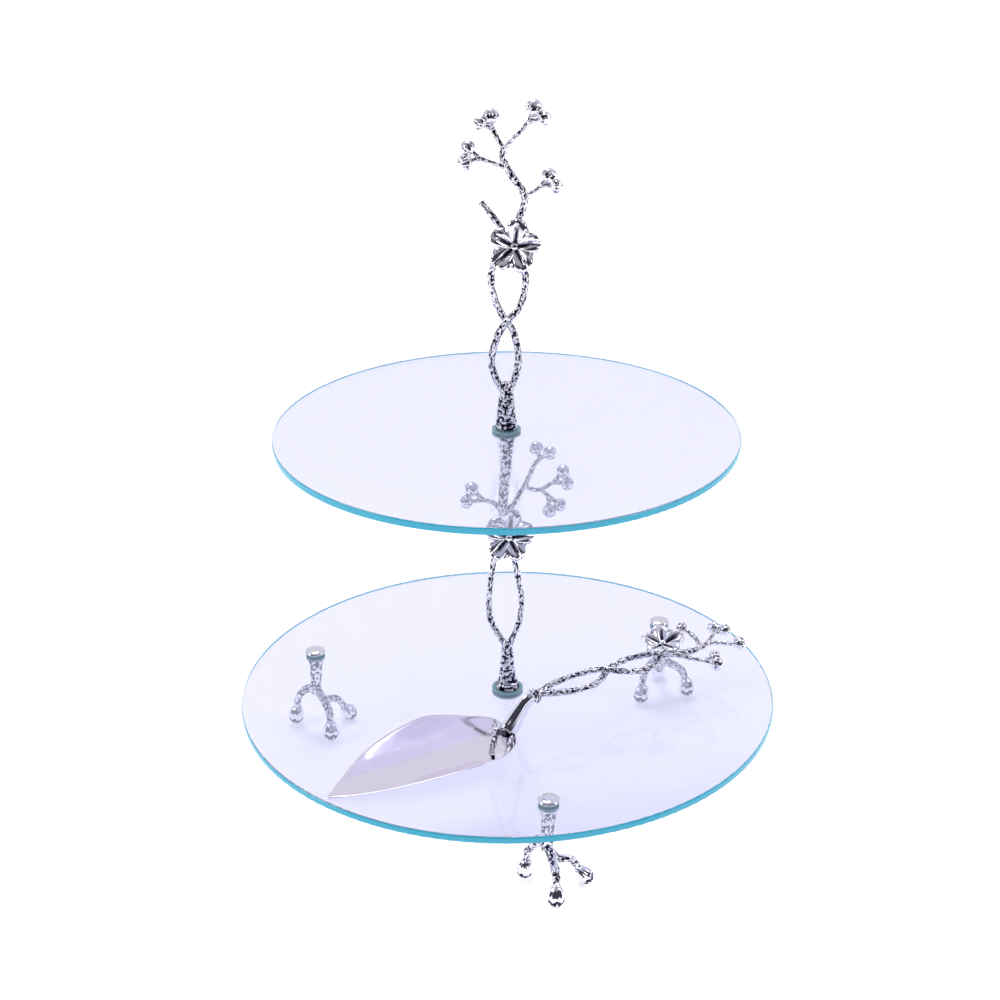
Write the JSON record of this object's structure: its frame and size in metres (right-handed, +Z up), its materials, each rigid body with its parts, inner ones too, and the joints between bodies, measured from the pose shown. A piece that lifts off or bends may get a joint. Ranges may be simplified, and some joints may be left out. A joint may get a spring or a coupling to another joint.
{
  "type": "tiered cake stand",
  "caption": "Two-tier round glass cake stand on a cast blossom-branch stem with branch feet, a screw-on branch handle and a matching cake server resting on the lower tray.",
  "frame": {"origin": "on the surface the stand rests on, under the middle of the trays", "axes": "+Z up; the flowers face -Y, and the server lies along the -Y side of the lower tray"},
  "size_m": [0.3, 0.3, 0.386],
  "materials": {
    "glass": "clear float glass, polished edges with a blue-green cast",
    "cast_silver": "bark-textured casting, bright nickel plated, dark in the recesses",
    "polished_silver": "plain polished nickel plate",
    "steel": "plain turned steel",
    "clear_washer": "clear soft vinyl",
    "blade": "mirror-polished stainless sheet"
  },
  "bodies": {
    "stand": {"lower_tray": "glass", "upper_tray": "glass", "centre_stem": "cast_silver", "centre_flower": "cast_silver", "centre_flower_rivet": "polished_silver", "centre_screw": "polished_silver", "lower_seat_washer": "clear_washer", "lower_under_washer": "clear_washer", "upper_seat_washer": "clear_washer", "joining_stud": "steel", "foot_front": "cast_silver", "foot_screw_front": "polished_silver", "foot_top_washer_front": "clear_washer", "foot_under_washer_front": "clear_washer", "foot_right": "cast_silver", "foot_screw_right": "polished_silver", "foot_top_washer_right": "clear_washer", "foot_under_washer_right": "clear_washer", "foot_left": "cast_silver", "foot_screw_left": "polished_silver", "foot_top_washer_left": "clear_washer", "foot_under_washer_left": "clear_washer"},
    "handle_seat": {"upper_top_washer": "clear_washer"},
    "handle": {"handle_casting": "cast_silver", "handle_flower": "cast_silver", "handle_flower_rivet": "polished_silver"},
    "server": {"server_blade": "blade", "server_neck": "cast_silver", "server_collar": "polished_silver", "server_tang": "steel", "server_heel_sprig": "cast_silver", "server_handle": "cast_silver", "server_flower": "cast_silver", "server_flower_rivet": "polished_silver"}
  },
  "joints": [
    {"name": "handle_lift", "type": "slide", "parent": "stand", "child": "handle_seat", "axis": [0, 0, 1], "range_m": [0, 0.0073]},
    {"name": "handle_unscrew", "type": "hinge", "parent": "handle_seat", "child": "handle", "pos_m": [0, 0, 0.22], "axis": [0, 0, 1], "range_deg": [0, 3240]},
    {"name": "server_draw", "type": "slide", "parent": "stand", "child": "server", "axis": [0, -0.9397, 0.342], "range_m": [0, 0.3]}
  ],
  "couplings": [
    {"joint": "handle_lift", "follows": "handle_unscrew", "m_per_rad": 0.00012732}
  ]
}
